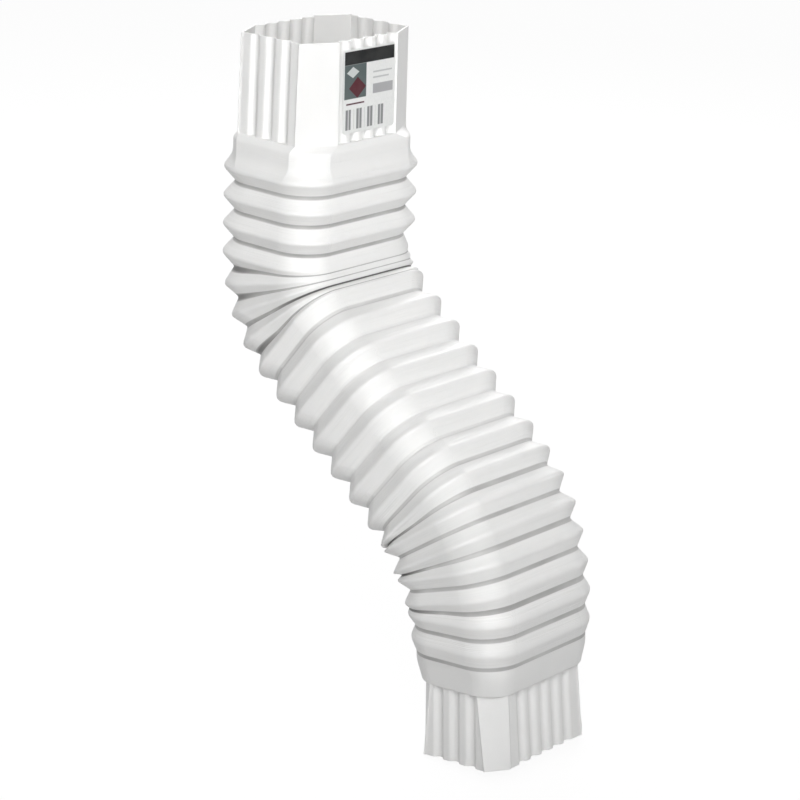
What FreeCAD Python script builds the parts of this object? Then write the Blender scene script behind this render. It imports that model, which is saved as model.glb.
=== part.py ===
import FreeCAD, Part
import math
import os

# Flexible downspout elbow: a blow-moulded white vinyl tube with a fluted rectangular end at the top,
# a stack of V-shaped rings bent into a shallow S, and a fluted end at the bottom. A paper label is
# stuck on the wide face of the top end. Millimetres. The origin is the centre of the inlet rim,
# Z points up along the inlet, and the S leads off towards +X. Y runs along the wide faces.

# ends of the tube: the inlet takes a nominal 3 x 4 inch downspout, the outlet goes into the next one
inlet_narrow = 75.0            # inlet rim along X, over the corner panels
inlet_wide = 103.5             # inlet rim along Y
inlet_length = 65.5            # rim to shoulder
inlet_draft = 1.3              # growth of each side from the rim to the shoulder
outlet_narrow = 71.5           # outlet rim along X
outlet_wide = 101.0            # outlet rim along Y
outlet_length = 49.5           # lower collar to rim
outlet_draft = 1.6             # shrink of each side from the rim back to the collar
wall = 1.2                     # thickness of the plastic

# flutes, the shallow channels between the chamfered corner panels of both ends
narrow_flutes = 3
wide_flutes = 5
narrow_pitch = 13.6
wide_pitch = 11.4
flute_mouth = 7.4
flute_floor = 3.4
flute_depth = 2.6
panel_lift = 0.8               # how far the corner panels stand proud of the fluted faces

# flat left between the outermost flutes and the corner panels, on the narrow and wide faces
inlet_margin_narrow = 7.9
inlet_margin_wide = 1.0
collar_margin_narrow = 2.2     # where the outlet leaves the lower collar
collar_margin_wide = 9.1
outlet_margin_narrow = 8.0     # at the outlet's rim
outlet_margin_wide = 10.2

# collars between the fluted ends and the rings
ledge = 0.3                    # flat step just outside the fluted inlet
collar_leg = 18.5              # corner leg of the collars
bevel_out = 2.6
bevel_down = 4.0
upper_collar_wall = 11.0
upper_collar_flare = 8.0       # from the collar wall down to the ridge of the first ring
lower_collar_bulge = 3.5       # rounded collar below the last ring, outside the outlet
lower_collar_rise = 6.0
lower_collar_wall = 13.5       # narrows evenly down to the lip
lower_lip = 1.2                # the lip stands this far outside the outlet

# rings
groove_out_narrow = 0.9        # the grooves stand this far outside the inlet rim along X
groove_out_wide = 2.45         # and this far along Y
groove_leg = 23.0              # corner leg of the grooves
ridge_leg = 24.0               # corner leg of the ridges
ring_depth = 6.3               # ridge height above the grooves
low_rings = 4                  # the last rings stand less and less proud
low_ring_drop = 0.9            # loss of height from one low ring to the next
fold_slope = 1.35              # wall measured square to the axis, over the wall itself, in the folds
level_steps = 3
level_pitch = 19.0

# upper bend: far is the ring spacing on its open side, near on its closed side
upper_steps = 4
upper_far = 23.5
upper_near = 3.4
flap_start = 0.41              # height of the smooth flap that closes the bend, as a share of ring_depth
crease_step = 2                # the bend's step, counted from 0, that leaves a crease in the flap
crease_share = 0.35            # depth of that crease as a share of ring_depth
straight_steps = 6
straight_pitch = 21.2

# lower bend: on its closed side every second ring is pushed up against the one above it
lower_pairs = 3
lower_far = 20.2
lower_open_near = 14.7         # near spacing of the open steps
lower_shut_near = 2.0          # near spacing of the first shut pair
lower_shut_gain = 1.6          # gain of near spacing from one shut pair to the next
lower_lift = 0.4

# corners of the rounded outlines: each is a chamfer whose middle swells towards a true arc
corner_facets = 6
ring_swell = 0.95
collar_swell = 0.35

# paper label across the flutes of the inlet's wide face
label_left_gap = 3.6           # from the outer edge of the outermost flute, on the -Y side
label_right_gap = 0.6          # the same on the +Y side
label_below_rim = 6.0
label_above_shoulder = 6.0
label_radius = 2.0
label_thick = 0.25

narrow_reach = (narrow_flutes - 1) / 2 * narrow_pitch + flute_mouth / 2
wide_reach = (wide_flutes - 1) / 2 * wide_pitch + flute_mouth / 2
groove_x = inlet_narrow / 2 + groove_out_narrow
groove_y = inlet_wide / 2 + groove_out_wide
ring_count = level_steps + upper_steps + straight_steps + 2 * lower_pairs + 2
flat_enough = 1e-6             # a corner this near the plane of the other three lies in it


class Walker:
    """Follows the middle line of the tube downwards, turning towards +X."""

    def __init__(self):
        self.x = 0.0
        self.z = 0.0
        self.lean = 0.0

    def advance(self, length, turn=0.0):
        middle = self.lean + turn / 2
        self.x += length * math.sin(middle)
        self.z -= length * math.cos(middle)
        self.lean += turn

    def put(self, spots):
        """Points of a cross-section, given as (along X, along Y), set square to the middle line."""
        points = []
        for across, along in spots:
            x = self.x + across * math.cos(self.lean)
            z = self.z + across * math.sin(self.lean)
            points.append(FreeCAD.Vector(x, along, z))
        return points


def inset_legs(legs, inset):
    """Legs of a chamfered corner, along X and Y, once the outline is drawn in by the inset."""
    leg_x, leg_y = legs
    across = math.hypot(leg_x, leg_y)
    less_x = inset * (1 + (leg_x - across) / leg_y)
    less_y = inset * (1 + (leg_y - across) / leg_x)
    return leg_x - less_x, leg_y - less_y


def corner_spots(size, legs, swell):
    """Points of the corner towards +X and +Y, between a straight chamfer and an arc."""
    spots = []
    for number in range(corner_facets + 1):
        share = number / corner_facets
        angle = share * math.pi / 2
        arc = (math.cos(angle), math.sin(angle))
        chamfer = (1 - share, share)
        across = (1 - swell) * chamfer[0] + swell * arc[0]
        along = (1 - swell) * chamfer[1] + swell * arc[1]
        spots.append((size[0] - legs[0] + legs[0] * across, size[1] - legs[1] + legs[1] * along))
    return spots


def rounded_outline(size, legs, swell):
    """Closed outline of a rectangle with soft corners, anticlockwise from the +X side."""
    first = corner_spots(size, legs, swell)
    second = [(-across, along) for across, along in reversed(first)]
    third = [(-across, -along) for across, along in first]
    fourth = [(across, -along) for across, along in reversed(first)]
    return first + second + third + fourth


def fluted_side(length_half, flutes, pitch):
    """Points along one fluted side, from one corner panel to the other, as (along, inwards)."""
    floor = panel_lift + flute_depth
    points = [(-length_half, 0.0)]
    for number in range(flutes):
        middle = (number - (flutes - 1) / 2) * pitch
        points.append((middle - flute_mouth / 2, panel_lift))
        points.append((middle - flute_floor / 2, floor))
        points.append((middle + flute_floor / 2, floor))
        points.append((middle + flute_mouth / 2, panel_lift))
    points.append((length_half, 0.0))
    return points


def fluted_outline(size, legs):
    """Closed outline of a fluted end: four fluted sides joined by the straight corner panels."""
    wide_side = fluted_side(size[1] - legs[1], wide_flutes, wide_pitch)
    narrow_side = fluted_side(size[0] - legs[0], narrow_flutes, narrow_pitch)
    spots = [(size[0] - inwards, along) for along, inwards in wide_side]
    spots += [(-along, size[1] - inwards) for along, inwards in narrow_side]
    spots += [(inwards - size[0], -along) for along, inwards in wide_side]
    spots += [(along, inwards - size[1]) for along, inwards in narrow_side]
    return spots


def flat_face(points):
    return Part.Face(Part.makePolygon(points + [points[0]]))


def patch(first, second, third, fourth):
    """One flat face over four points, or two triangles where they don't lie in one plane."""
    normal = (second - first).cross(fourth - first)
    off_plane = (third - first).dot(normal.normalize())
    if abs(off_plane) < flat_enough:
        return [flat_face([first, second, third, fourth])]
    return [flat_face([first, second, third]), flat_face([first, third, fourth])]


def skin_between(upper, lower):
    """Faces from each edge of one outline to the same edge of the next."""
    faces = []
    for number in range(len(upper)):
        after = (number + 1) % len(upper)
        faces += patch(upper[number], upper[after], lower[after], lower[number])
    return faces


def ring_face(outside, inside):
    """Flat face between two outlines that lie in one plane."""
    return flat_face(outside).cut(flat_face(inside)).Faces


def bend_step(far, near, side, lift):
    """One step of a bend that closes on the given side of X: spacing, turn, side and lift."""
    turn = side * (far - near) / (2 * (groove_x + ring_depth))
    return (far + near) / 2, turn, side, lift


def lower_bend():
    """Open steps and shut pairs in turn, ending with an open step."""
    steps = []
    for pair in range(lower_pairs + 1):
        steps.append(bend_step(lower_far, lower_open_near, -1, 0.0))
        if pair < lower_pairs:
            near = lower_shut_near + pair * lower_shut_gain
            steps.append(bend_step(lower_far, near, -1, lower_lift))
    return steps


def flap_height(steps_down):
    """The flap rises evenly from flap_start at its first ridge to the full depth at its last."""
    return flap_start + (1 - flap_start) * steps_down / upper_steps


def upper_bend():
    """Steps whose grooves are pushed out level with the flap, but for the crease."""
    steps = []
    for number in range(upper_steps):
        lift = flap_height(number + 0.5)
        if number == crease_step:
            lift -= crease_share
        steps.append(bend_step(upper_far, upper_near, 1, lift))
    return steps


def ring_steps():
    """Spacing, turn, closed side and groove lift of every step from one ridge to the next."""
    level = [(level_pitch, 0.0, 1, 0.0)] * level_steps
    straight = [(straight_pitch, 0.0, 1, 0.0)] * straight_steps
    return level + upper_bend() + straight + lower_bend()


def ridge_sink(number):
    """Share of the ring depth that a ridge of the flap loses on the closed side."""
    steps_down = number - level_steps - 1
    if 0 <= steps_down < upper_steps:
        return 1 - flap_height(steps_down)
    return 0.0


def drawn_towards(outline, goal, side, share):
    """Outline drawn towards another by the given share on one side of X, less towards the middle."""
    reach = max(across for across, along in outline)
    spots = []
    for here, there in zip(outline, goal):
        part = share * max(0.0, side * here[0] / reach)
        across = here[0] + part * (there[0] - here[0])
        spots.append((across, here[1] + part * (there[1] - here[1])))
    return spots


def ridge_height(number):
    """Height of a ridge above the grooves, counted from 1 at the top."""
    low = max(0, number - (ring_count - low_rings))
    return ring_depth - low * low_ring_drop


def panel_legs(size, margin_narrow, margin_wide):
    """Legs of the corner panels, which take what the flutes and their margins leave."""
    return size[0] - narrow_reach - margin_narrow, size[1] - wide_reach - margin_wide


def wider(pair, by):
    return pair[0] + by, pair[1] + by


class Skin:
    """One skin of the tube; inset 0 is the outside, and the wall as inset gives the inside."""

    def __init__(self, inset):
        self.inset = inset
        self.walker = Walker()
        self.outlines = []
        self.faces = []

    def fluted(self, size, legs):
        spots = fluted_outline(wider(size, -self.inset), inset_legs(legs, self.inset))
        return self.walker.put(spots)

    def soft(self, size, legs, swell, slope=1.0):
        drop = self.inset * slope
        return rounded_outline(wider(size, -drop), inset_legs(legs, drop), swell)

    def station(self, spots):
        self.outlines.append(self.walker.put(spots))

    def collar(self, size, legs, swell):
        self.station(self.soft(size, legs, swell))

    def fold(self, height, leg):
        return self.soft(wider((groove_x, groove_y), height), (leg, leg), ring_swell, fold_slope)

    def groove(self, side=1, lift=0.0):
        low = self.fold(0.0, groove_leg)
        self.station(drawn_towards(low, self.fold(ring_depth, ridge_leg), side, lift))

    def ridge(self, number):
        high = self.fold(ridge_height(number), ridge_leg)
        self.station(drawn_towards(high, self.fold(0.0, groove_leg), 1, ridge_sink(number)))

    def inlet(self):
        size = (inlet_narrow / 2, inlet_wide / 2)
        legs = panel_legs(size, inlet_margin_narrow, inlet_margin_wide)
        self.rim = self.fluted(size, legs)
        size = wider(size, inlet_draft)
        self.walker.advance(inlet_length + self.inset)
        legs = panel_legs(size, inlet_margin_narrow, inlet_margin_wide)
        self.base = self.fluted(size, legs)
        self.faces += skin_between(self.rim, self.base)
        self.collar(wider(size, ledge), wider(legs, ledge), 0.0)
        size = wider(size, ledge + bevel_out)
        self.walker.advance(bevel_down - self.inset / 2)
        self.collar(size, (collar_leg, collar_leg), collar_swell)
        self.walker.advance(upper_collar_wall - self.inset / 2)
        self.collar(size, (collar_leg, collar_leg), collar_swell)
        self.walker.advance(upper_collar_flare)

    def rings(self):
        self.ridge(1)
        for number, (pitch, turn, side, lift) in enumerate(ring_steps()):
            self.walker.advance(pitch / 2, turn / 2)
            self.groove(side, lift)
            self.walker.advance(pitch / 2, turn / 2)
            self.ridge(number + 2)
        self.walker.advance(level_pitch / 2)
        self.groove()

    def outlet(self):
        size = (outlet_narrow / 2 - outlet_draft, outlet_wide / 2 - outlet_draft)
        legs = panel_legs(size, collar_margin_narrow, collar_margin_wide)
        self.walker.advance(lower_collar_rise)
        self.collar(wider(size, lower_collar_bulge), (collar_leg, collar_leg), ring_swell)
        self.walker.advance(lower_collar_wall - self.inset)
        self.collar(wider(size, lower_lip), (collar_leg, collar_leg), ring_swell)
        self.tail = self.fluted(size, legs)
        self.walker.advance(outlet_length + self.inset)
        size = (outlet_narrow / 2, outlet_wide / 2)
        legs = panel_legs(size, outlet_margin_narrow, outlet_margin_wide)
        self.foot = self.fluted(size, legs)
        self.faces += skin_between(self.tail, self.foot)

    def close(self):
        self.faces += ring_face(self.outlines[0], self.base)
        for upper, lower in zip(self.outlines[:-1], self.outlines[1:]):
            self.faces += skin_between(upper, lower)
        self.faces += ring_face(self.outlines[-1], self.tail)

    def build(self):
        self.inlet()
        self.rings()
        self.outlet()
        self.close()
        return self


def flexible_elbow():
    outside = Skin(0.0).build()
    inside = Skin(wall).build()
    faces = outside.faces + inside.faces
    faces += ring_face(outside.rim, inside.rim)
    faces += ring_face(outside.foot, inside.foot)
    shell = Part.makeShell(faces)
    shell.sewShape()
    solid = Part.makeSolid(Part.Shell(shell.Faces))
    if solid.Volume < 0:
        solid.reverse()
    return solid


def paper_label():
    """A thin sheet across the lands of the fluted wide face, leaning with its draft."""
    lean = math.atan2(inlet_draft, inlet_length)
    wide = 2 * wide_reach - label_left_gap - label_right_gap
    high = inlet_length - label_below_rim - label_above_shoulder
    corner = FreeCAD.Vector(0, label_left_gap - wide_reach, -label_below_rim - high)
    sheet = Part.makeBox(label_thick, wide, high, corner)
    through = [edge for edge in sheet.Edges if edge.Length < label_thick + flat_enough]
    sheet = sheet.makeFillet(label_radius, through)
    sheet.rotate(FreeCAD.Vector(0, 0, 0), FreeCAD.Vector(0, 1, 0), -math.degrees(lean))
    sheet.translate(FreeCAD.Vector(inlet_narrow / 2 - panel_lift, 0, 0))
    return sheet


def main():
    os.makedirs("parts", exist_ok=True)
    flexible_elbow().exportStep("parts/flexible_elbow.step")
    paper_label().exportStep("parts/paper_label.step")


main()
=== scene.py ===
import math

import bmesh
import bpy
from mathutils import Matrix, Vector

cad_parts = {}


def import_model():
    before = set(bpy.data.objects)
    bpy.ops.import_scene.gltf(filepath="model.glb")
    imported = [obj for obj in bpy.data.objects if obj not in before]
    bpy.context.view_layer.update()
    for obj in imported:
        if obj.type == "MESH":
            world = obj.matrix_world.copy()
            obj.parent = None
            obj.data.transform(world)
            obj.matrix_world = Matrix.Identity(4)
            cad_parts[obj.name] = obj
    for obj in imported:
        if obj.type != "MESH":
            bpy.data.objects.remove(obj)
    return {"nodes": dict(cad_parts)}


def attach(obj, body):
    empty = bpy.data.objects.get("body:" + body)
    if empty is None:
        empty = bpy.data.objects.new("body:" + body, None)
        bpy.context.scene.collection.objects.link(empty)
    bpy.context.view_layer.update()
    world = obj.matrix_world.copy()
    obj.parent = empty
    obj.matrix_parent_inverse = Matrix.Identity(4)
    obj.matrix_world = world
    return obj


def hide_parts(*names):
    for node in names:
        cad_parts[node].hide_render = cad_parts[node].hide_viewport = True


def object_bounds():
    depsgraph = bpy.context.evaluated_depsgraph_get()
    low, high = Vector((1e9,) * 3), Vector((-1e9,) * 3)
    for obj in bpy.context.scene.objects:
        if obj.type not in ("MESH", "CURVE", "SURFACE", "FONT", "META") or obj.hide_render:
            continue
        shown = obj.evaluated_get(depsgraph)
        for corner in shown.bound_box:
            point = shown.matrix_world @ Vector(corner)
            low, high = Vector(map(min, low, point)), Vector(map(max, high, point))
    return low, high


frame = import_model()
cad_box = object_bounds()

MM = 0.001

# sizes, in millimetres
INLET = dict(half_x=37.5, half_y=51.75, length=65.5, draft=1.3, margins=(7.9, 1.0))
OUTLET = dict(half_x=35.75, half_y=50.5, length=49.5, draft=1.6, margins=(8.0, 10.2))
OUTLET_TOP_MARGINS = (2.2, 9.1)
WALL = 1.2
FLUTES_NARROW, FLUTES_WIDE = 3, 5
PITCH = {FLUTES_NARROW: 13.6, FLUTES_WIDE: 11.4}
FLUTE_MOUTH, FLUTE_FLOOR, FLUTE_DEPTH, PANEL_LIFT = 7.4, 3.4, 2.6, 0.8
LEDGE, COLLAR_LEG, BEVEL_OUT, BEVEL_DOWN = 0.3, 18.5, 2.6, 4.0
UPPER_WALL, UPPER_FLARE = 11.0, 8.0
LOWER_BULGE, LOWER_RISE, LOWER_WALL, LOWER_LIP = 3.5, 6.0, 13.5, 1.2
GROOVE_X, GROOVE_Y, GROOVE_LEG, RIDGE_LEG = 38.4, 54.2, 23.0, 24.0
RING_DEPTH, LOW_RINGS, LOW_DROP, FOLD_SLOPE = 6.3, 4, 0.9, 1.35
LEVEL_STEPS, LEVEL_PITCH = 3, 19.0
UPPER_STEPS, UPPER_FAR, UPPER_NEAR = 4, 23.5, 3.4
FLAP_START, CREASE_STEP, CREASE_SHARE = 0.41, 2, 0.35
STRAIGHT_STEPS, STRAIGHT_PITCH = 6, 21.2
LOWER_PAIRS, LOWER_FAR, LOWER_OPEN_NEAR = 3, 20.2, 14.7
LOWER_SHUT_NEAR, LOWER_SHUT_GAIN, LOWER_LIFT = 2.0, 1.6, 0.4
RING_SWELL, COLLAR_SWELL = 0.95, 0.35

# the step from a corner panel down to the fluted face, and its soft edge
STEP_WIDTH, STEP_SHARE, STEP_EDGE, STEP_SINK = 1.4, 0.7, 0.2, 0.05
FLUTE_ROUNDING, FLUTE_SAMPLES = 1.1, 3
# half a side of an unfluted cross-section that has its spots where a fluted one has them
SPREAD_HALF = {FLUTES_WIDE: 30.2, FLUTES_NARROW: 23.0}
CORNER_STEPS = 9

# roundings along the tube, as (how far back from the edge, spots across it)
RIM_EDGE, FLUTE_END, LEDGE_EDGE = (0.45, 3), (0.5, 2), (0.2, 2)
BEVEL_EDGE, UPPER_EDGE, BULGE_EDGE, LIP_EDGE = (1.6, 4), (4.0, 5), (3.0, 5), (0.5, 3)
RIDGE_OUTSIDE, GROOVE_OUTSIDE, FOLD_INSIDE = (2.0, 5), (1.1, 5), (1.2, 2)
# most of the way to its neighbour that a rounding may take, round the tube and along it
MOST_ROUND_IT, MOST_ALONG = 0.45, 0.42

# what a spot is, for the vinyl's colour: 1 on a ridge, 0 in a groove, less in a crease that gets
# painted shade
ON_RIDGE, IN_GROOVE, BETWEEN, PAINTED_CREASE_SHADE = 1.0, 0.0, 0.5, -0.3
# grooves pinched into a crease darkened with painted shade, each with the side of X where it is pinched
CREASES_WITH_PAINTED_SHADE = {4: -1, 5: -1, 7: -1, 6: 1, 15: -1, 17: -1, 19: -1}
# the first groove below the level rings: its outline measures how far round the tube a spot lies
MEASURED_STATION = 12


class Walker:
    """Follows the middle line of the tube downwards, turning towards +X."""

    def __init__(self):
        self.place = Matrix()
        self.gone = 0.0

    def advance(self, length, turn=0.0):
        half_turn = Matrix.Rotation(-turn / 2, 4, "Y")
        self.place = self.place @ half_turn @ Matrix.Translation((0, 0, -length)) @ half_turn
        self.gone += length

    def put(self, spots):
        return [self.place @ Vector((a, b, 0)) for a, b in spots]


def curve_spot(start, middle, end, t):
    """Spot on the curve that leaves start and reaches end, both aimed at middle."""
    return start * (1 - t) ** 2 + middle * (2 * t * (1 - t)) + end * t * t


def rounded(points, trim, count):
    """Open polyline of (along, inwards) with each inner corner turned into a short curve."""
    out = [points[0]]
    for before, here, after in zip(points[:-2], points[1:-1], points[2:]):
        here = Vector(here)
        back, on = Vector(before) - here, Vector(after) - here
        start = here + back.normalized() * min(trim, back.length * MOST_ROUND_IT)
        end = here + on.normalized() * min(trim, on.length * MOST_ROUND_IT)
        for n in range(count):
            out.append(tuple(curve_spot(start, here, end, n / (count - 1))))
    out.append(points[-1])
    return out


def flutes_reach(flutes):
    """From the middle of a face to the outer edge of its last flute."""
    return (flutes - 1) / 2 * PITCH[flutes] + FLUTE_MOUTH / 2


def fluted_side(half, flutes):
    """One fluted side as (along, inwards), from one corner panel to the other."""
    floor_depth = PANEL_LIFT + FLUTE_DEPTH
    step = min(STEP_WIDTH, (half - flutes_reach(flutes)) * STEP_SHARE)
    points = [(-half, 0.0), (-half + STEP_EDGE * step, STEP_SINK), (-half + step, PANEL_LIFT)]
    for n in range(flutes):
        m = (n - (flutes - 1) / 2) * PITCH[flutes]
        points += [(m - FLUTE_MOUTH / 2, PANEL_LIFT), (m - FLUTE_FLOOR / 2, floor_depth)]
        points += [(m + FLUTE_FLOOR / 2, floor_depth), (m + FLUTE_MOUTH / 2, PANEL_LIFT)]
    points += [(half - step, PANEL_LIFT), (half - STEP_EDGE * step, STEP_SINK), (half, 0.0)]
    return rounded(points, FLUTE_ROUNDING, FLUTE_SAMPLES)


def plain_side(half, flutes):
    """The same side without flutes, with as many spots."""
    spread = SPREAD_HALF[flutes]
    return [(along / spread * half, 0.0) for along, _ in fluted_side(spread, flutes)]


def panel_legs(half_x, half_y, margins):
    """Legs of the corner panels, which take what the flutes and their margins leave."""
    sides = zip((half_x, half_y), (FLUTES_NARROW, FLUTES_WIDE), margins)
    return [half - flutes_reach(flutes) - margin for half, flutes, margin in sides]


def inset_legs(legs, inset):
    """Legs of a chamfered corner once its outline is drawn in."""
    across = math.hypot(*legs)
    first = legs[0] - inset * (1 + (legs[0] - across) / legs[1])
    second = legs[1] - inset * (1 + (legs[1] - across) / legs[0])
    return first, second


def corner(half, legs, swell):
    """Corner towards +X +Y, between the ends of its two sides, which are left out."""
    spots = []
    for n in range(1, CORNER_STEPS):
        share = n / CORNER_STEPS
        angle = share * math.pi / 2
        a = (1 - swell) * (1 - share) + swell * math.cos(angle)
        b = (1 - swell) * share + swell * math.sin(angle)
        spots.append((half[0] - legs[0] + legs[0] * a, half[1] - legs[1] + legs[1] * b))
    return spots


def outline(half, legs, swell, side=plain_side):
    """Closed outline of a cross-section, with the same count of spots for every kind."""
    wide = side(half[1] - legs[1], FLUTES_WIDE)
    narrow = side(half[0] - legs[0], FLUTES_NARROW)
    arc = corner(half, legs, swell)
    spots = [(half[0] - i, a) for a, i in wide]
    spots += arc
    spots += [(-a, half[1] - i) for a, i in narrow]
    spots += [(-a, b) for a, b in reversed(arc)]
    spots += [(i - half[0], -a) for a, i in wide]
    spots += [(-a, -b) for a, b in arc]
    spots += [(a, i - half[1]) for a, i in narrow]
    spots += [(a, -b) for a, b in reversed(arc)]
    return spots


def bend_step(far, near, side, lift):
    """One step of a bend that closes on the given side of X: spacing, turn, side and lift."""
    turn = side * (far - near) / (2 * (GROOVE_X + RING_DEPTH))
    return (far + near) / 2, turn, side, lift


def flap_height(steps_down):
    """The smooth flap that closes the upper bend, as a share of the ring depth."""
    return FLAP_START + (1 - FLAP_START) * steps_down / UPPER_STEPS


def ring_steps():
    """Every step from one ridge to the next."""
    steps = [(LEVEL_PITCH, 0.0, 1, 0.0)] * LEVEL_STEPS
    for number in range(UPPER_STEPS):
        crease = CREASE_SHARE if number == CREASE_STEP else 0.0
        steps.append(bend_step(UPPER_FAR, UPPER_NEAR, 1, flap_height(number + 0.5) - crease))
    steps += [(STRAIGHT_PITCH, 0.0, 1, 0.0)] * STRAIGHT_STEPS
    for pair in range(LOWER_PAIRS + 1):
        steps.append(bend_step(LOWER_FAR, LOWER_OPEN_NEAR, -1, 0.0))
        if pair < LOWER_PAIRS:
            near = LOWER_SHUT_NEAR + pair * LOWER_SHUT_GAIN
            steps.append(bend_step(LOWER_FAR, near, -1, LOWER_LIFT))
    return steps


RINGS = len(ring_steps()) + 1


def ridge_height(number):
    """Height of a ridge over the grooves, which falls over the last rings."""
    return RING_DEPTH - max(0, number - (RINGS - LOW_RINGS)) * LOW_DROP


def ridge_sink(number):
    """Share of the ring depth that a ridge of the flap loses."""
    steps_down = number - LEVEL_STEPS - 1
    return 1 - flap_height(steps_down) if 0 <= steps_down < UPPER_STEPS else 0.0


def side_shares(spots, side):
    """How far each spot lies towards one side of X, from 0 in the middle to 1."""
    reach = max(a for a, _ in spots)
    return [max(0.0, side * a / reach) for a, _ in spots]


def drawn_towards(spots, goal, side, share):
    """Outline drawn towards another on one side of X, less towards the middle."""
    drawn = []
    for (a, b), (c, d), near in zip(spots, goal, side_shares(spots, side)):
        part = share * near
        drawn.append((a + part * (c - a), b + part * (d - b)))
    return drawn


class Skin:
    """Stations of one skin of the tube, the outer one or one drawn in by the wall."""

    def __init__(self, inset):
        self.inset = inset
        self.walk = Walker()
        self.stations = []
        self.ridge_edge, self.groove_edge = RIDGE_OUTSIDE, GROOVE_OUTSIDE
        if inset:
            self.ridge_edge = self.groove_edge = FOLD_INSIDE

    def add(self, spots, edge, folds=None):
        """Puts a cross-section here: its points, their rounding, their folds and how far along."""
        folds = folds or [BETWEEN] * len(spots)
        self.stations.append((self.walk.put(spots), edge, folds, self.walk.gone))

    def shape(self, x, y, legs, swell, slope=1.0):
        drop = self.inset * slope
        return outline((x - drop, y - drop), inset_legs(legs, drop), swell)

    def soft(self, x, y, legs, swell, edge):
        self.add(self.shape(x, y, legs, swell), edge)

    def flute(self, x, y, legs, edge):
        half = (x - self.inset, y - self.inset)
        self.add(outline(half, inset_legs(legs, self.inset), 0.0, fluted_side), edge)

    def fold(self, height, leg):
        x, y = GROOVE_X + height, GROOVE_Y + height
        return self.shape(x, y, (leg, leg), RING_SWELL, FOLD_SLOPE)

    def ridge(self, number):
        high, low = self.fold(ridge_height(number), RIDGE_LEG), self.fold(0.0, GROOVE_LEG)
        spots = drawn_towards(high, low, 1, ridge_sink(number))
        self.add(spots, self.ridge_edge, [ON_RIDGE] * len(spots))

    def groove(self, number, side=1, lift=0.0):
        low, high = self.fold(0.0, GROOVE_LEG), self.fold(RING_DEPTH, RIDGE_LEG)
        folds = [IN_GROOVE] * len(low)
        # painted shade: these grooves get fold values below zero, which darken them in the vinyl's
        # colour
        if number in CREASES_WITH_PAINTED_SHADE and not self.inset:
            folds = [PAINTED_CREASE_SHADE * near for near in side_shares(low, CREASES_WITH_PAINTED_SHADE[number])]
        self.add(drawn_towards(low, high, side, lift), self.groove_edge, folds)

    def inlet(self):
        x, y = INLET["half_x"], INLET["half_y"]
        self.flute(x, y, panel_legs(x, y, INLET["margins"]), RIM_EDGE)
        self.walk.advance(INLET["length"] + self.inset)
        x, y = x + INLET["draft"], y + INLET["draft"]
        legs = panel_legs(x, y, INLET["margins"])
        self.flute(x, y, legs, FLUTE_END)
        self.soft(x + LEDGE, y + LEDGE, [leg + LEDGE for leg in legs], 0.0, LEDGE_EDGE)

    def upper_collar(self):
        out = INLET["draft"] + LEDGE + BEVEL_OUT
        x, y = INLET["half_x"] + out, INLET["half_y"] + out
        legs = (COLLAR_LEG, COLLAR_LEG)
        self.walk.advance(BEVEL_DOWN - self.inset / 2)
        self.soft(x, y, legs, COLLAR_SWELL, BEVEL_EDGE)
        self.walk.advance(UPPER_WALL - self.inset / 2)
        self.soft(x, y, legs, COLLAR_SWELL, UPPER_EDGE)
        self.walk.advance(UPPER_FLARE)

    def rings(self):
        self.ridge(1)
        for number, (pitch, turn, side, lift) in enumerate(ring_steps(), 1):
            self.walk.advance(pitch / 2, turn / 2)
            self.groove(number, side, lift)
            self.walk.advance(pitch / 2, turn / 2)
            self.ridge(number + 1)
        self.walk.advance(LEVEL_PITCH / 2)
        self.groove(RINGS)

    def lower_collar(self):
        x, y = OUTLET["half_x"] - OUTLET["draft"], OUTLET["half_y"] - OUTLET["draft"]
        legs = (COLLAR_LEG, COLLAR_LEG)
        self.walk.advance(LOWER_RISE)
        self.soft(x + LOWER_BULGE, y + LOWER_BULGE, legs, RING_SWELL, BULGE_EDGE)
        self.walk.advance(LOWER_WALL - self.inset)
        self.soft(x + LOWER_LIP, y + LOWER_LIP, legs, RING_SWELL, LIP_EDGE)

    def outlet(self):
        x, y = OUTLET["half_x"] - OUTLET["draft"], OUTLET["half_y"] - OUTLET["draft"]
        self.flute(x, y, panel_legs(x, y, OUTLET_TOP_MARGINS), FLUTE_END)
        self.walk.advance(OUTLET["length"] + self.inset)
        x, y = OUTLET["half_x"], OUTLET["half_y"]
        self.flute(x, y, panel_legs(x, y, OUTLET["margins"]), RIM_EDGE)

    def build(self):
        self.inlet()
        self.upper_collar()
        self.rings()
        self.lower_collar()
        self.outlet()
        return self.stations


def mean_gap(points, others):
    return sum((b - a).length for a, b in zip(points, others)) / len(points)


def soft_rows(stations):
    """Rounds the whole closed stack of cross-sections, column by column."""
    rows = []
    for k, (here, (trim, samples), folds, gone) in enumerate(stations):
        before, after = stations[k - 1][0], stations[(k + 1) % len(stations)][0]
        share_back = min(trim / mean_gap(here, before), MOST_ALONG)
        share_on = min(trim / mean_gap(here, after), MOST_ALONG)
        for n in range(samples):
            t = n / (samples - 1)
            points = []
            for b, h, a in zip(before, here, after):
                points.append(curve_spot(h.lerp(b, share_back), h, h.lerp(a, share_on), t))
            rows.append((points, folds, gone))
    return rows


def tube_faces(rows, columns):
    """Four-sided faces of a grid that closes on itself both ways."""
    faces = []
    for r in range(rows):
        s = (r + 1) % rows
        for c in range(columns):
            d = (c + 1) % columns
            faces.append((r * columns + c, r * columns + d, s * columns + d, s * columns + c))
    return faces


def face_outwards(mesh):
    bm = bmesh.new()
    bm.from_mesh(mesh)
    if bm.calc_volume(signed=True) < 0:
        bmesh.ops.reverse_faces(bm, faces=bm.faces)
    bm.to_mesh(mesh)
    bm.free()


def new_object(name, data):
    thing = bpy.data.objects.new(name, data)
    bpy.context.scene.collection.objects.link(thing)
    return thing


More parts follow.
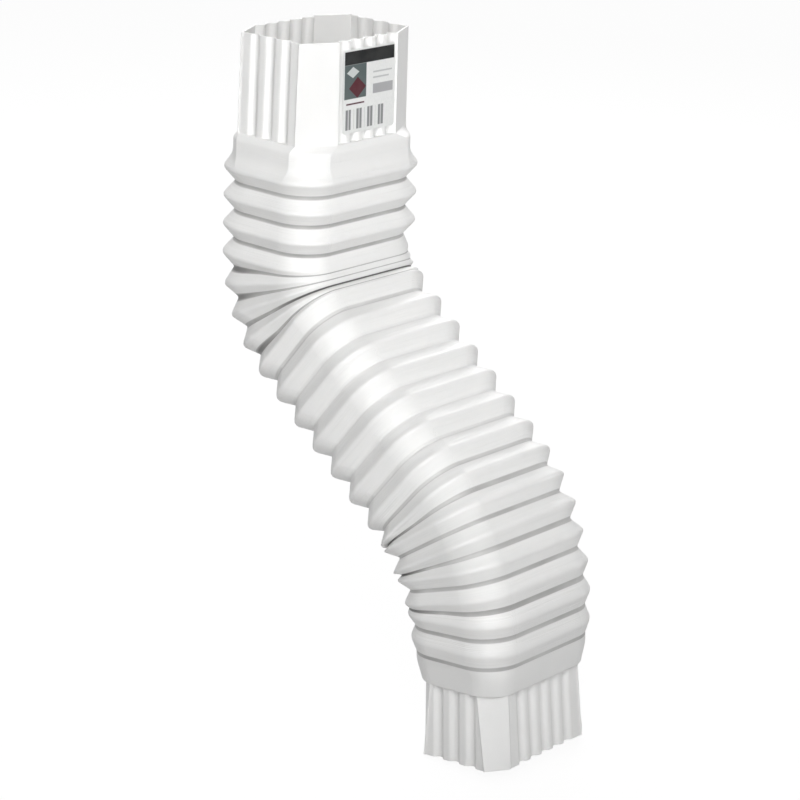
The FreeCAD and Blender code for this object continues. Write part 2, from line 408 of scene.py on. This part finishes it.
def build_elbow():
    outside, inside = Skin(0.0).build(), Skin(WALL).build()
    rows = soft_rows(outside + inside[::-1])
    measured = outside[MEASURED_STATION][0]
    around = [0.0]
    for a, b in zip(measured[:-1], measured[1:]):
        around.append(around[-1] + (b - a).length)

    mesh = bpy.data.meshes.new("elbow_skin")
    verts = [point * MM for points, _, _ in rows for point in points]
    mesh.from_pydata(verts, [], tube_faces(len(rows), len(around)))
    mesh.update()
    values = {
        "fold": [fold for _, folds, _ in rows for fold in folds],
        "along": [gone for _, _, gone in rows for _ in around],
        "around": around * len(rows),
    }
    for name, numbers in values.items():
        mesh.attributes.new(name, "FLOAT", "POINT").data.foreach_set("value", numbers)
    mesh.shade_smooth()
    face_outwards(mesh)
    return new_object("elbow_tube", mesh)


# materials
class Nodes:
    """Short helpers for building a tree of shader nodes."""

    def __init__(self, tree):
        self.tree = tree

    def add(self, kind, **values):
        node = self.tree.nodes.new(kind)
        for key, value in values.items():
            setattr(node, key, value)
        return node

    def link(self, source, target):
        self.tree.links.new(source, target)

    def feed(self, socket, value):
        """Gives an input a number, a colour or another node's output."""
        if isinstance(value, tuple):
            socket.default_value = (*value, 1.0)
        elif isinstance(value, (int, float)):
            socket.default_value = value
        else:
            self.link(value, socket)

    def math(self, operation, a, b=None, clamp=False):
        node = self.add("ShaderNodeMath", operation=operation, use_clamp=clamp)
        self.feed(node.inputs[0], a)
        if b is not None:
            self.feed(node.inputs[1], b)
        return node.outputs[0]

    def times(self, a, b):
        return self.math("MULTIPLY", a, b)

    def off(self, value, middle):
        """Distance of a value from a middle."""
        return self.math("ABSOLUTE", self.math("SUBTRACT", value, middle))

    def ramp(self, value, low, high, out_low, out_high):
        node = self.add("ShaderNodeMapRange")
        names = ("Value", "From Min", "From Max", "To Min", "To Max")
        for name, given in zip(names, (value, low, high, out_low, out_high)):
            self.feed(node.inputs[name], given)
        return node.outputs["Result"]

    def mix(self, factor, a, b):
        node = self.add("ShaderNodeMix", data_type="RGBA")
        for number, value in ((0, factor), (6, a), (7, b)):
            self.feed(node.inputs[number], value)
        return node.outputs[2]

    def noise(self, vector, scale, detail, roughness):
        node = self.add("ShaderNodeTexNoise")
        names = ("Vector", "Scale", "Detail", "Roughness")
        for name, value in zip(names, (vector, scale, detail, roughness)):
            self.feed(node.inputs[name], value)
        return node.outputs["Fac"]

    def attribute(self, name):
        return self.add("ShaderNodeAttribute", attribute_name=name).outputs["Fac"]

    def flat_vector(self, x, y):
        node = self.add("ShaderNodeCombineXYZ")
        self.feed(node.inputs["X"], x)
        self.feed(node.inputs["Y"], y)
        return node.outputs[0]

    def split(self, vector):
        node = self.add("ShaderNodeSeparateXYZ")
        self.link(vector, node.inputs[0])
        return node.outputs

    def coordinates(self, kind):
        return self.add("ShaderNodeTexCoord").outputs[kind]

    def bump(self, height, strength, distance, before=None):
        node = self.add("ShaderNodeBump")
        for name, value in (("Height", height), ("Strength", strength), ("Distance", distance)):
            self.feed(node.inputs[name], value)
        if before is not None:
            self.link(before, node.inputs["Normal"])
        return node.outputs["Normal"]

    def seen(self):
        """1 for what the camera sees, also through gloss and clear things, 0 for other light."""
        ray = self.add("ShaderNodeLightPath").outputs
        total = self.math("ADD", ray["Is Camera Ray"], ray["Is Transmission Ray"], clamp=True)
        return self.math("ADD", total, ray["Is Glossy Ray"], clamp=True)

    def blend(self, share, first, second, output):
        """Mixes two shaders into the named output of the tree."""
        node = self.add("ShaderNodeMixShader")
        for socket, source in zip(node.inputs, (share, first.outputs[0], second.outputs[0])):
            self.link(source, socket)
        self.link(node.outputs[0], self.tree.nodes[output].inputs["Surface"])


class Finish(Nodes):
    """A material around Blender's own surface shader."""

    def __init__(self, name):
        self.material = bpy.data.materials.new(name)
        self.material.use_nodes = True
        super().__init__(self.material.node_tree)
        self.shader = self.tree.nodes["Principled BSDF"]

    def set(self, name, value):
        self.feed(self.shader.inputs[name], value)


# the vinyl's colours: even, streaked, and painted shade down in a groove and in a dark crease
VINYL_COOL, VINYL_WARM = (0.87, 0.87, 0.86), (0.90, 0.895, 0.885)
STREAK_TINT, FINE_TINT = (0.79, 0.79, 0.785), (0.80, 0.80, 0.79)
GROOVE_SHADE_TINT, CREASE_SHADE_TINT = (0.36, 0.355, 0.35), (0.07, 0.068, 0.065)
# streaks in each millimetre round the tube and along it
STREAKS, FINE_STREAKS = (0.016, 0.55), (0.05, 1.9)
# where the finish changes, in millimetres from the rim along the tube's middle line
BELOW_INLET, PAST_RINGS = (64.0, 84.0), (440.0, 460.0)
OPENS_OUT, CLOSES_UP = (190.0, 235.0), (300.0, 350.0)
# how far up its fold a groove's painted shade line reaches
GROOVE_SHADE_REACH = 0.11
# the stretch of a noise's values that a change is spread over
CLOUDED = (0.3, 0.7)


def streaks(n, around, along, share, detail, roughness):
    across, down = share
    return n.noise(n.flat_vector(n.times(around, across), n.times(along, down)), 1.0, detail, roughness)


def vinyl():
    n = Finish("white_vinyl")
    place = n.coordinates("Object")
    around, along, fold = n.attribute("around"), n.attribute("along"), n.attribute("fold")

    # streaks run round the tube, where the plastic was stretched into the folds
    streak = streaks(n, around, along, STREAKS, 3.0, 0.62)
    fine = streaks(n, around, along, FINE_STREAKS, 2.0, 0.6)
    # hardly any of them on the two smooth ends
    below_inlet = n.ramp(along, *BELOW_INLET, 0.08, 1.0)
    on_rings = n.math("SUBTRACT", below_inlet, n.ramp(along, *PAST_RINGS, 0.0, 0.92))
    streak, fine = n.times(streak, on_rings), n.times(fine, on_rings)
    cloud = n.noise(place, 22.0, 3.0, 0.55)
    grain = n.noise(place, 900.0, 2.0, 0.6)

    base = n.mix(n.ramp(cloud, *CLOUDED, 0.0, 1.0), VINYL_COOL, VINYL_WARM)
    base = n.mix(n.ramp(streak, 0.48, 0.8, 0.0, 0.4), base, STREAK_TINT)
    base = n.mix(n.ramp(fine, 0.55, 0.8, 0.0, 0.25), base, FINE_TINT)
    # painted shade in the grooves: the rings are squeezed close at both ends and drawn open in the
    # middle, where the painted shade shows less
    upper_rings, lower_rings = n.ramp(along, *OPENS_OUT, 1.0, 0.1), n.ramp(along, *CLOSES_UP, 0.0, 0.8)
    groove_shade_share = n.math("ADD", upper_rings, lower_rings)
    # painted shade: each groove's root is darkened, varied by the cloud noise
    root = n.times(n.ramp(fold, IN_GROOVE, GROOVE_SHADE_REACH, 1.0, 0.0), n.ramp(cloud, *CLOUDED, 0.6, 1.0))
    base = n.mix(n.times(root, groove_shade_share), base, GROOVE_SHADE_TINT)
    # painted shade: the pinched creases are darkened almost to black
    crease = n.ramp(fold, 0.7 * PAINTED_CREASE_SHADE, IN_GROOVE, 0.9, 0.0)
    n.set("Base Color", n.mix(crease, base, CREASE_SHADE_TINT))

    rough = n.ramp(cloud, *CLOUDED, 0.33, 0.42)
    n.set("Roughness", n.math("ADD", rough, n.ramp(streak, 0.4, 0.7, 0.0, 0.1)))
    n.set("IOR", 1.49)
    n.set("Subsurface Weight", 0.08)
    n.shader.inputs["Subsurface Radius"].default_value = (0.0026, 0.0024, 0.0022)
    n.set("Subsurface Scale", 1.0)
    normal = n.bump(streak, 0.55, 0.0009)
    normal = n.bump(fine, 0.3, 0.0003, normal)
    normal = n.bump(cloud, 0.3, 0.0012, normal)
    n.set("Normal", n.bump(grain, 0.08, 0.0001, normal))
    return n.material


# the label's print: plain fields, two lozenges and a strip of bars, in millimetres
PAPER_DULL, PAPER_LIGHT, FADED = (0.80, 0.81, 0.80), (0.87, 0.875, 0.865), (0.72, 0.73, 0.72)
DARK, SLATE, WINE = (0.006, 0.0065, 0.007), (0.10, 0.125, 0.125), (0.085, 0.016, 0.024)
GREY, SOFT_GREY = (0.42, 0.42, 0.43), (0.55, 0.56, 0.56)
PALE, BAR_GREY = (0.62, 0.65, 0.64), (0.26, 0.265, 0.27)
PRINT_FIELDS = [
    ((-21.9, 24.9), (-15.6, -7.0), DARK),
    ((-21.9, -1.4), (-37.4, -15.6), SLATE),
    ((5.0, 24.0), (-36.4, -30.2), GREY),
    ((5.0, 20.0), (-26.6, -25.6), SOFT_GREY),
    ((5.0, 23.0), (-23.0, -22.0), SOFT_GREY),
    ((-20.0, -3.0), (-41.2, -40.2), WINE),
]
# each lozenge as its middle, how much its width counts against its height, half its height, colour
LOZENGES = [((-14.0, -20.6), 0.62, 3.4, PALE), ((-9.6, -30.6), 0.85, 6.6, WINE)]
BARS_FIELD = ((-20.4, 16.4), (-57.2, -44.2))
BAR_PERIOD, BAR_GROUP = 3.4, 10.5
FIELD_BLUR, LOZENGE_BLUR = 0.2, 0.4


def printed_field(n, along, up, across, heights):
    """1 inside a rectangle on the label, 0 outside."""
    masks = []
    for value, (low, high) in ((along, across), (up, heights)):
        half = (high - low) / 2
        off = n.off(value, (low + high) / 2 * MM)
        masks.append(n.ramp(off, (half - FIELD_BLUR) * MM, (half + FIELD_BLUR) * MM, 1.0, 0.0))
    return n.times(*masks)


def printed_bars(n, along, up):
    """Bars of uneven width, 1 on a bar and 0 beside it."""
    bars = n.math("SINE", n.times(along, 2 * math.pi / (BAR_PERIOD * MM)))
    groups = n.math("SINE", n.times(along, 2 * math.pi / (BAR_GROUP * MM)))
    strip = n.ramp(n.math("ADD", bars, groups), -0.2, 0.5, 0.0, 1.0)
    return n.times(strip, printed_field(n, along, up, *BARS_FIELD))


def label_paper():
    n = Finish("label_print")
    place = n.coordinates("Object")
    parts = n.split(place)
    along, up = parts["Y"], parts["Z"]
    fibre = n.noise(place, 700.0, 4.0, 0.7)
    cloud = n.noise(place, 60.0, 2.0, 0.5)
    colour = n.mix(n.ramp(fibre, *CLOUDED, 0.0, 1.0), PAPER_DULL, PAPER_LIGHT)
    for across, heights, shade in PRINT_FIELDS:
        colour = n.mix(printed_field(n, along, up, across, heights), colour, shade)
    for (middle_a, middle_z), squeeze, reach, shade in LOZENGES:
        span = n.times(n.off(along, middle_a * MM), squeeze)
        span = n.math("ADD", span, n.off(up, middle_z * MM))
        mask = n.ramp(span, reach * MM, (reach + LOZENGE_BLUR) * MM, 1.0, 0.0)
        colour = n.mix(mask, colour, shade)
    colour = n.mix(printed_bars(n, along, up), colour, BAR_GREY)
    n.set("Base Color", n.mix(n.ramp(cloud, 0.35, 0.7, 0.0, 0.03), colour, FADED))
    n.set("Roughness", n.ramp(fibre, *CLOUDED, 0.42, 0.56))
    n.set("Specular IOR Level", 0.2)
    normal = n.bump(fibre, 0.12, 0.0001)
    n.set("Normal", n.bump(cloud, 0.25, 0.0006, normal))
    return n.material


# the object
elbow = build_elbow()
elbow.data.materials.append(vinyl())
crisp = elbow.modifiers.new("flat_faces_stay_flat", "WEIGHTED_NORMAL")
crisp.weight = 60
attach(elbow, "root")
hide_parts("flexible_elbow")

label = frame["nodes"]["paper_label"]
for slot in label.material_slots:
    slot.material = label_paper()


# camera, fitted to the photograph: angles in degrees, distances in metres
AZIMUTH, CAMERA_PITCH, ROLL = 40.629, 18.286, 2.442
TARGET, DISTANCE = (0.067105, 0.01017, -0.236477), 1.811732
IMAGE_WIDTH, FOCAL_PIXELS = 800.0, 2763.86
SENSOR = 36.0


def photo_camera():
    azimuth, pitch, roll = (math.radians(v) for v in (AZIMUTH, CAMERA_PITCH, ROLL))
    level = Vector((-math.sin(azimuth), math.cos(azimuth), 0.0))
    ahead = level * math.cos(pitch) - Vector((0, 0, math.sin(pitch)))
    right = ahead.cross(Vector((0, 0, 1))).normalized()
    up = right.cross(ahead)
    rolled_right = right * math.cos(roll) + up * math.sin(roll)
    rolled_up = up * math.cos(roll) - right * math.sin(roll)
    data = bpy.data.cameras.new("photo_camera")
    data.sensor_width = SENSOR
    data.lens = SENSOR * FOCAL_PIXELS / IMAGE_WIDTH
    data.clip_end = 20.0
    camera = new_object("photo_camera", data)
    place = Vector(TARGET) - ahead * DISTANCE
    columns = (rolled_right, rolled_up, -ahead, place)
    camera.matrix_world = Matrix([[column[i] for column in columns] for i in range(3)] + [[0, 0, 0, 1]])
    bpy.context.scene.camera = camera
    bpy.context.scene.view_settings.view_transform = "Standard"


photo_camera()


# floor and light
WHITE = (1.0, 1.0, 1.0)
FLOOR_REACH, FLOOR_GAP = 6.0, 0.0005
FLOOR_GREY, FLOOR_GLOW, FLOOR_GLOW_SHARE = (0.34, 0.34, 0.34), 1.18, 0.80
ROOM_LEFT, ROOM_RIGHT = 0.22, 0.42


def floor():
    low = cad_box[0][2] - FLOOR_GAP
    corners = [(x * FLOOR_REACH, y * FLOOR_REACH, low) for x, y in ((-1, -1), (1, -1), (1, 1), (-1, 1))]
    mesh = bpy.data.meshes.new("floor")
    mesh.from_pydata(corners, [], [(0, 1, 2, 3)])
    plane = new_object("floor", mesh)
    n = Finish("floor_white")
    n.set("Base Color", FLOOR_GREY)
    n.set("Roughness", 0.9)
    glow = n.add("ShaderNodeEmission")
    n.feed(glow.inputs["Color"], WHITE)
    n.feed(glow.inputs["Strength"], FLOOR_GLOW)
    n.blend(n.times(n.seen(), FLOOR_GLOW_SHARE), n.shader, glow, "Material Output")
    mesh.materials.append(n.material)


def world():
    studio = bpy.data.worlds.new("studio")
    bpy.context.scene.world = studio
    studio.use_nodes = True
    n = Nodes(studio.node_tree)
    room = n.tree.nodes["Background"]
    n.feed(room.inputs["Color"], WHITE)
    # the room is darker to the left of the object and lighter to its right
    sideways = n.split(n.coordinates("Generated"))["X"]
    n.link(n.ramp(sideways, -1.0, 1.0, ROOM_LEFT, ROOM_RIGHT), room.inputs["Strength"])
    backdrop = n.add("ShaderNodeBackground")
    n.feed(backdrop.inputs["Color"], WHITE)
    n.feed(backdrop.inputs["Strength"], 1.0)
    n.blend(n.seen(), room, backdrop, "World Output")


def softbox(name, place, aim, size, power, spread=180.0):
    """A square lamp: its places in metres, its power in watts, its spread in degrees."""
    data = bpy.data.lights.new(name, "AREA")
    data.shape = "RECTANGLE"
    data.size = data.size_y = size
    data.energy = power
    data.spread = math.radians(spread)
    lamp = new_object(name, data)
    lamp.location = place
    lamp.rotation_euler = (Vector(aim) - Vector(place)).to_track_quat("-Z", "Y").to_euler()


floor()
world()
softbox("key", (0.78, -0.80, 0.56), (0.02, 0.0, -0.10), size=0.5, power=2.2, spread=90.0)
softbox("front", (1.20, -0.95, -0.36), (0.05, 0.0, -0.16), size=0.6, power=0.86, spread=42.0)
softbox("back", (-0.8, 1.4, 0.8), (0.08, 0.0, -0.22), size=0.9, power=14.0)
softbox("left", (-1.4, 0.3, 0.7), (0.05, 0.0, -0.22), size=0.8, power=6.0)
